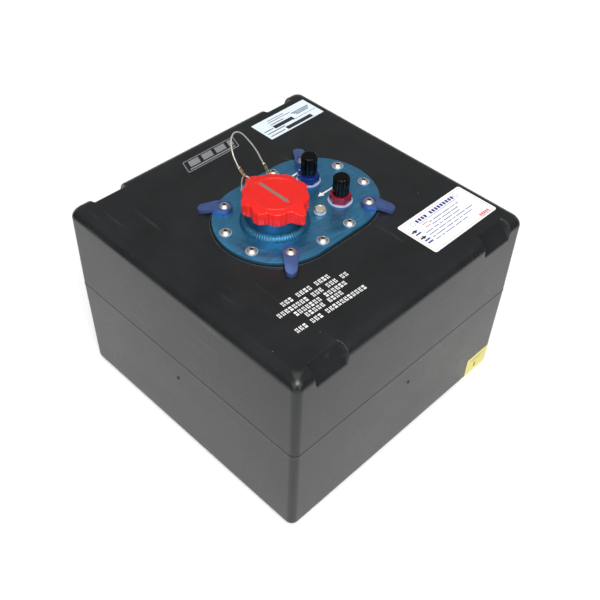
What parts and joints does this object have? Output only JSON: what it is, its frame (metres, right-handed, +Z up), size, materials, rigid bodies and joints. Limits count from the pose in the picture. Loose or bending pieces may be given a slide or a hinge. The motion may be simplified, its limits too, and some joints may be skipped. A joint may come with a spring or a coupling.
{
  "type": "racing fuel cell",
  "caption": "Square moulded fuel cell with an oval fill plate, screw-on filler cap on a wire lanyard, flapper valve, capped outlet and vent ports, hold-up tabs and strap recesses.",
  "frame": {"origin": "middle of the container's base, on the surface it stands on", "axes": "+Z up through the fill plate, +X along the fill plate's long axis towards the ports, -Y out of the front face"},
  "size_m": [0.3308, 0.3292, 0.2945],
  "materials": {
    "container_plastic": "matte moulded, fine grain",
    "bladder_rubber": "matte rubberised fabric",
    "zinc_steel": "bright zinc plate",
    "foam": "open-cell foam",
    "rubber": "satin rubber",
    "blue_anodised": "teal-blue anodised, satin",
    "stainless": "bright",
    "tab_anodised": "violet-blue anodised, satin",
    "red_anodised": "red coat, glossy",
    "bare_aluminium": "machined",
    "white_nylon": "smooth nylon",
    "navy_anodised": "dark blue anodised",
    "burgundy_anodised": "dark red anodised",
    "dust_plastic": "glossy black",
    "hose_rubber": "matte rubber",
    "yellow_zinc": "yellow zinc plate",
    "coated_wire": "clear-coated wire rope",
    "ferrule_brass": "crimped, dull"
  },
  "bodies": {
    "cell": {"container": "container_plastic", "bladder": "bladder_rubber", "nut_ring": "zinc_steel", "foam_lower_left": "foam", "foam_lower_right": "foam", "foam_upper_left": "foam", "foam_upper_right": "foam", "plate_gasket": "rubber", "fill_plate": "blue_anodised", "plate_screws": "stainless", "plate_washers": "stainless", "tab_back_right": "tab_anodised", "tab_front_right": "tab_anodised", "tab_front_left": "tab_anodised", "tab_back_left": "tab_anodised", "filler_neck": "blue_anodised", "flapper_housing": "bare_aluminium", "flapper_pin": "stainless", "flapper_spring": "stainless", "outlet_washer": "white_nylon", "outlet_fitting": "navy_anodised", "outlet_nut": "bare_aluminium", "pickup_hose": "hose_rubber", "hose_clamps": "stainless", "pickup_filter": "white_nylon", "vent_washer": "white_nylon", "vent_fitting": "burgundy_anodised", "vent_nut": "bare_aluminium", "rollover_body": "bare_aluminium", "rollover_plug": "bare_aluminium", "ground_screw": "yellow_zinc", "ground_washer": "white_nylon", "ground_nut": "yellow_zinc", "lanyard_wire": "coated_wire", "plate_ferrule": "ferrule_brass", "plate_eye": "coated_wire"},
    "cap_seat": {"cap_seal": "rubber"},
    "cap": {"filler_cap": "red_anodised", "cap_loop": "coated_wire", "cap_ferrule": "ferrule_brass"},
    "outlet_cap": {"outlet_dust_cap": "dust_plastic"},
    "vent_cap": {"vent_dust_cap": "dust_plastic"},
    "flapper": {"flapper_disc": "bare_aluminium", "flapper_seal": "rubber"},
    "ball": {"rollover_ball": "stainless"}
  },
  "joints": [
    {"name": "cap_lift", "type": "slide", "parent": "cell", "child": "cap_seat", "axis": [0, 0, 1], "range_m": [0, 0.0121], "deforming": ["lanyard_wire"]},
    {"name": "cap_turn", "type": "hinge", "parent": "cap_seat", "child": "cap", "pos_m": [-0.031, 0.001, 0.25], "axis": [0, 0, 1], "range_deg": [0, 720], "deforming": ["lanyard_wire"]},
    {"name": "outlet_cap_pull", "type": "slide", "parent": "cell", "child": "outlet_cap", "axis": [0, 0, 1], "range_m": [0, 0.022]},
    {"name": "vent_cap_pull", "type": "slide", "parent": "cell", "child": "vent_cap", "axis": [0, 0, 1], "range_m": [0, 0.022]},
    {"name": "flapper_swing", "type": "hinge", "parent": "cell", "child": "flapper", "pos_m": [-0.068, 0.001, 0.2107], "axis": [0, 1, 0], "range_deg": [0, 80], "stiffness_Nm_per_rad": 0.02, "springref_deg": -34.38, "deforming": ["flapper_spring"]},
    {"name": "ball_rise", "type": "slide", "parent": "cell", "child": "ball", "axis": [0, 0, 1], "range_m": [0, 0.008]}
  ],
  "couplings": [
    {"joint": "cap_lift", "follows": "cap_turn", "m_per_rad": 0.00095493}
  ]
}
